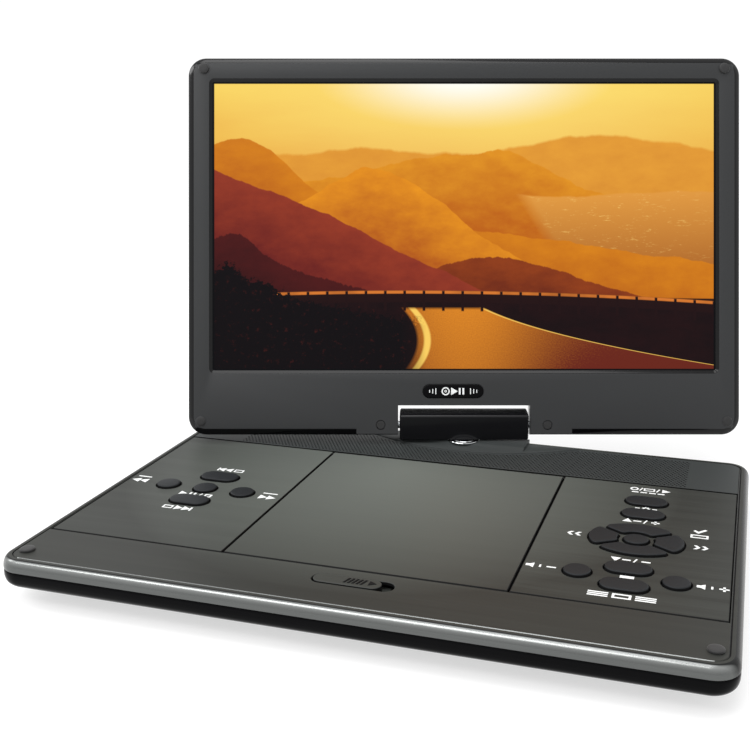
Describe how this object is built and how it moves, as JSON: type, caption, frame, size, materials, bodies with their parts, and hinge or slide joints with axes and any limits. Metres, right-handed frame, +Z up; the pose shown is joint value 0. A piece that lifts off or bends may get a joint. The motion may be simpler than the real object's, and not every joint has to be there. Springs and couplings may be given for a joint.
{
  "type": "portable dvd player",
  "caption": "Portable DVD player: flat base with disc door, key panels and speakers, and a widescreen lid on a swivel and tilt hinge.",
  "frame": {"origin": "middle of the base's flat underside; the rubber feet stand 2 mm below it", "axes": "+Z up, +X to the right seen from the front, +Y from the front edge to the swivel at the rear"},
  "size_m": [0.3493, 0.3425, 0.2516],
  "materials": {
    "shell_gloss": "high gloss black",
    "deck_brushed": "dark grey film with a fine brushed grain under clear lacquer",
    "door_satin": "smooth dark grey, semi gloss",
    "grille_plastic": "dark grey, satin, finely perforated over the speakers",
    "lid_plastic": "satin dark grey with a gloss chamfer",
    "lid_back_gloss": "gloss black",
    "screen_glass": "gloss screen with a lit landscape picture",
    "key_plastic": "black, satin tops with bright moulded edges",
    "rubber": "matt",
    "steel": "machined",
    "chrome": "polished",
    "inner_plastic": "moulded, fine texture",
    "hub_plastic": "moulded",
    "lens_glass": "coated lens",
    "circuit_board": "solder mask",
    "battery_wrap": "shrink wrap"
  },
  "bodies": {
    "base": {"bottom_shell": "shell_gloss", "top_shell": "deck_brushed", "speaker_grille": "grille_plastic", "hinge_platform": "grille_plastic", "foot_front_left": "rubber", "foot_front_right": "rubber", "foot_rear_left": "rubber", "foot_rear_right": "rubber", "base_bumper_left": "rubber", "base_bumper_right": "rubber", "left_key_panel": "deck_brushed", "right_key_panel": "deck_brushed", "left_key_board": "circuit_board", "right_key_board": "circuit_board", "drive_deck": "inner_plastic", "spindle_motor": "steel", "guide_rail_left": "steel", "guide_rail_right": "steel", "main_board": "circuit_board", "battery_pack": "battery_wrap", "speaker_left": "inner_plastic", "speaker_right": "inner_plastic", "dc_jack": "inner_plastic", "av_jack": "inner_plastic", "headphone_jack": "inner_plastic", "usb_port": "inner_plastic", "card_slot": "inner_plastic"},
    "door": {"disc_door": "door_satin"},
    "slider": {"open_slider": "deck_brushed"},
    "hub": {"disc_hub": "hub_plastic"},
    "sled": {"pickup_sled": "inner_plastic", "pickup_lens": "lens_glass"},
    "switch": {"power_switch": "key_plastic"},
    "key_previous_body": {"key_previous": "key_plastic"},
    "key_rewind_body": {"key_rewind": "key_plastic"},
    "key_play_pause_body": {"key_play_pause": "key_plastic"},
    "key_fast_forward_body": {"key_fast_forward": "key_plastic"},
    "key_next_body": {"key_next": "key_plastic"},
    "key_mode_body": {"key_mode": "key_plastic"},
    "key_settings_body": {"key_settings": "key_plastic"},
    "key_ok_body": {"key_ok": "key_plastic"},
    "key_stop_body": {"key_stop": "key_plastic"},
    "key_menu_body": {"key_menu": "key_plastic"},
    "key_volume_down_body": {"key_volume_down": "key_plastic"},
    "key_volume_up_body": {"key_volume_up": "key_plastic"},
    "key_right_body": {"key_right": "key_plastic"},
    "key_up_body": {"key_up": "key_plastic"},
    "key_left_body": {"key_left": "key_plastic"},
    "key_down_body": {"key_down": "key_plastic"},
    "swivel": {"swivel_post": "chrome", "hinge_housing": "shell_gloss"},
    "lid": {"lid_bezel": "lid_plastic", "lid_back_cover": "lid_back_gloss", "lcd_panel": "screen_glass", "tilt_shaft": "steel", "badge_plate": "shell_gloss", "hinge_plug_left": "rubber", "hinge_plug_right": "rubber", "lid_bumper_left": "rubber", "lid_bumper_right": "rubber"}
  },
  "joints": [
    {"name": "swivel_turn", "type": "hinge", "parent": "base", "child": "swivel", "pos_m": [0, 0.108, 0.024], "axis": [0, 0, 1], "range_deg": [-17.2, 162.8]},
    {"name": "lid_tilt", "type": "hinge", "parent": "swivel", "child": "lid", "pos_m": [-0.00103, 0.11134, 0.032], "axis": [-0.9553, -0.2957, 0], "range_deg": [-105.5, 14.5]},
    {"name": "door_open", "type": "hinge", "parent": "base", "child": "door", "pos_m": [0, 0.0659, 0.0209], "axis": [-1, 0, 0], "range_deg": [0, 62]},
    {"name": "slider_push", "type": "slide", "parent": "base", "child": "slider", "axis": [1, 0, 0], "range_m": [0, 0.005], "stiffness_N_per_m": 300},
    {"name": "hub_spin", "type": "hinge", "parent": "base", "child": "hub", "pos_m": [0, -0.0072, 0.0144], "axis": [0, 0, 1], "continuous": true},
    {"name": "sled_travel", "type": "slide", "parent": "base", "child": "sled", "axis": [0, -1, 0], "range_m": [0, 0.03]},
    {"name": "power_slide", "type": "slide", "parent": "base", "child": "switch", "axis": [0, 1, 0], "range_m": [0, 0.0036]},
    {"name": "key_previous_press", "type": "slide", "parent": "base", "child": "key_previous_body", "axis": [0, 0, -1], "range_m": [0, 0.0008], "stiffness_N_per_m": 900},
    {"name": "key_rewind_press", "type": "slide", "parent": "base", "child": "key_rewind_body", "axis": [0, 0, -1], "range_m": [0, 0.0008], "stiffness_N_per_m": 900},
    {"name": "key_play_pause_press", "type": "slide", "parent": "base", "child": "key_play_pause_body", "axis": [0, 0, -1], "range_m": [0, 0.0008], "stiffness_N_per_m": 900},
    {"name": "key_fast_forward_press", "type": "slide", "parent": "base", "child": "key_fast_forward_body", "axis": [0, 0, -1], "range_m": [0, 0.0008], "stiffness_N_per_m": 900},
    {"name": "key_next_press", "type": "slide", "parent": "base", "child": "key_next_body", "axis": [0, 0, -1], "range_m": [0, 0.0008], "stiffness_N_per_m": 900},
    {"name": "key_mode_press", "type": "slide", "parent": "base", "child": "key_mode_body", "axis": [0, 0, -1], "range_m": [0, 0.0008], "stiffness_N_per_m": 900},
    {"name": "key_settings_press", "type": "slide", "parent": "base", "child": "key_settings_body", "axis": [0, 0, -1], "range_m": [0, 0.0008], "stiffness_N_per_m": 900},
    {"name": "key_ok_press", "type": "slide", "parent": "base", "child": "key_ok_body", "axis": [0, 0, -1], "range_m": [0, 0.0008], "stiffness_N_per_m": 900},
    {"name": "key_stop_press", "type": "slide", "parent": "base", "child": "key_stop_body", "axis": [0, 0, -1], "range_m": [0, 0.0008], "stiffness_N_per_m": 900},
    {"name": "key_menu_press", "type": "slide", "parent": "base", "child": "key_menu_body", "axis": [0, 0, -1], "range_m": [0, 0.0008], "stiffness_N_per_m": 900},
    {"name": "key_volume_down_press", "type": "slide", "parent": "base", "child": "key_volume_down_body", "axis": [0, 0, -1], "range_m": [0, 0.0008], "stiffness_N_per_m": 900},
    {"name": "key_volume_up_press", "type": "slide", "parent": "base", "child": "key_volume_up_body", "axis": [0, 0, -1], "range_m": [0, 0.0008], "stiffness_N_per_m": 900},
    {"name": "key_right_press", "type": "slide", "parent": "base", "child": "key_right_body", "axis": [0, 0, -1], "range_m": [0, 0.0008], "stiffness_N_per_m": 900},
    {"name": "key_up_press", "type": "slide", "parent": "base", "child": "key_up_body", "axis": [0, 0, -1], "range_m": [0, 0.0008], "stiffness_N_per_m": 900},
    {"name": "key_left_press", "type": "slide", "parent": "base", "child": "key_left_body", "axis": [0, 0, -1], "range_m": [0, 0.0008], "stiffness_N_per_m": 900},
    {"name": "key_down_press", "type": "slide", "parent": "base", "child": "key_down_body", "axis": [0, 0, -1], "range_m": [0, 0.0008], "stiffness_N_per_m": 900}
  ]
}
